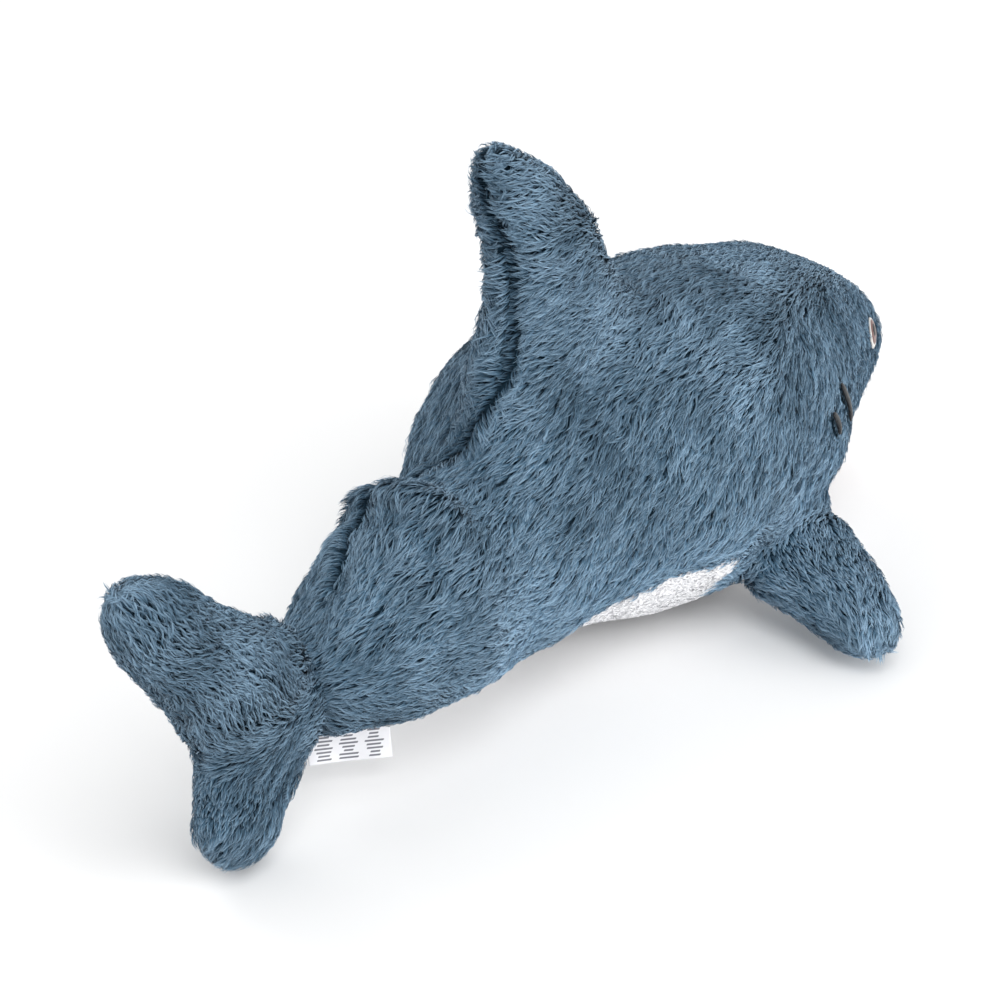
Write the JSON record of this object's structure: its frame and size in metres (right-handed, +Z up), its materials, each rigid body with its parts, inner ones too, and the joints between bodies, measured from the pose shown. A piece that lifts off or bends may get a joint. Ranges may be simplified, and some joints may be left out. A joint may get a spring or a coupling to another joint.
{
  "type": "plush shark",
  "caption": "Stuffed plush shark lying on its belly, with blue-grey pile on top, a white belly and soft flopping fins and tail.",
  "frame": {"origin": "on the surface the toy lies on, under the middle of its length and width", "axes": "+X to the nose, +Y to the toy's left, +Z up"},
  "size_m": [0.5516, 0.2888, 0.272],
  "materials": {
    "blue_plush": "long soft pile",
    "white_plush": "short soft pile",
    "polyester_fill": "loose fibre",
    "eye_white_thread": "satin stitch",
    "eye_brown_thread": "satin stitch",
    "eye_black_thread": "satin stitch",
    "gill_thread": "satin stitch",
    "mouth_felt": "felt",
    "tooth_felt": "felt",
    "label_satin": "satin ribbon"
  },
  "bodies": {
    "torso": {"side_panel_left": "blue_plush", "side_panel_right": "blue_plush", "belly_panel": "white_plush", "body_stuffing": "polyester_fill", "mouth_lining": "mouth_felt", "teeth_strip": "tooth_felt", "eye_white_left": "eye_white_thread", "eye_white_right": "eye_white_thread", "eye_iris_left": "eye_brown_thread", "eye_iris_right": "eye_brown_thread", "eye_pupil_left": "eye_black_thread", "eye_pupil_right": "eye_black_thread", "gill_stitches_left": "gill_thread", "gill_stitches_right": "gill_thread"},
    "tail_stock": {"stock_panel_left": "blue_plush", "stock_panel_right": "blue_plush", "stock_belly_panel": "white_plush", "stock_stuffing": "polyester_fill"},
    "tail_fin": {"tail_fin_panel_left": "blue_plush", "tail_fin_panel_right": "blue_plush", "tail_fin_stuffing": "polyester_fill"},
    "dorsal_fin": {"dorsal_panel_left": "blue_plush", "dorsal_panel_right": "blue_plush", "dorsal_stuffing": "polyester_fill"},
    "pectoral_fin_left": {"pectoral_top_left": "blue_plush", "pectoral_bottom_left": "blue_plush", "pectoral_stuffing_left": "polyester_fill"},
    "pectoral_fin_right": {"pectoral_top_right": "blue_plush", "pectoral_bottom_right": "blue_plush", "pectoral_stuffing_right": "polyester_fill"},
    "label": {"care_label": "label_satin"}
  },
  "joints": [
    {"name": "tail_stock_sway", "type": "hinge", "parent": "torso", "child": "tail_stock", "pos_m": [-0.06, 0, 0.07], "axis": [0, 0, 1], "range_deg": [-18, 18], "stiffness_Nm_per_rad": 1.5},
    {"name": "tail_fin_sway", "type": "hinge", "parent": "tail_stock", "child": "tail_fin", "pos_m": [-0.17793, -0.00412, 0.066], "axis": [0, 0, 1], "range_deg": [-35, 35], "stiffness_Nm_per_rad": 0.5},
    {"name": "dorsal_fin_flop", "type": "hinge", "parent": "torso", "child": "dorsal_fin", "pos_m": [0.0245, 0, 0.122], "axis": [0.9905, 0, 0.1378], "range_deg": [-20, 20], "stiffness_Nm_per_rad": 0.5},
    {"name": "pectoral_left_flap", "type": "hinge", "parent": "torso", "child": "pectoral_fin_left", "pos_m": [0.122, 0.057, 0.038], "axis": [0.9662, 0, 0.2577], "range_deg": [-8, 28], "stiffness_Nm_per_rad": 0.4},
    {"name": "pectoral_right_flap", "type": "hinge", "parent": "torso", "child": "pectoral_fin_right", "pos_m": [0.122, -0.057, 0.038], "axis": [-0.9662, 0, -0.2577], "range_deg": [-8, 28], "stiffness_Nm_per_rad": 0.4},
    {"name": "label_swing", "type": "hinge", "parent": "tail_stock", "child": "label", "pos_m": [-0.12996, -0.00244, 0.0292], "axis": [0.8691, -0.4712, -0.1504], "range_deg": [-25, 25], "stiffness_Nm_per_rad": 0.0003}
  ]
}
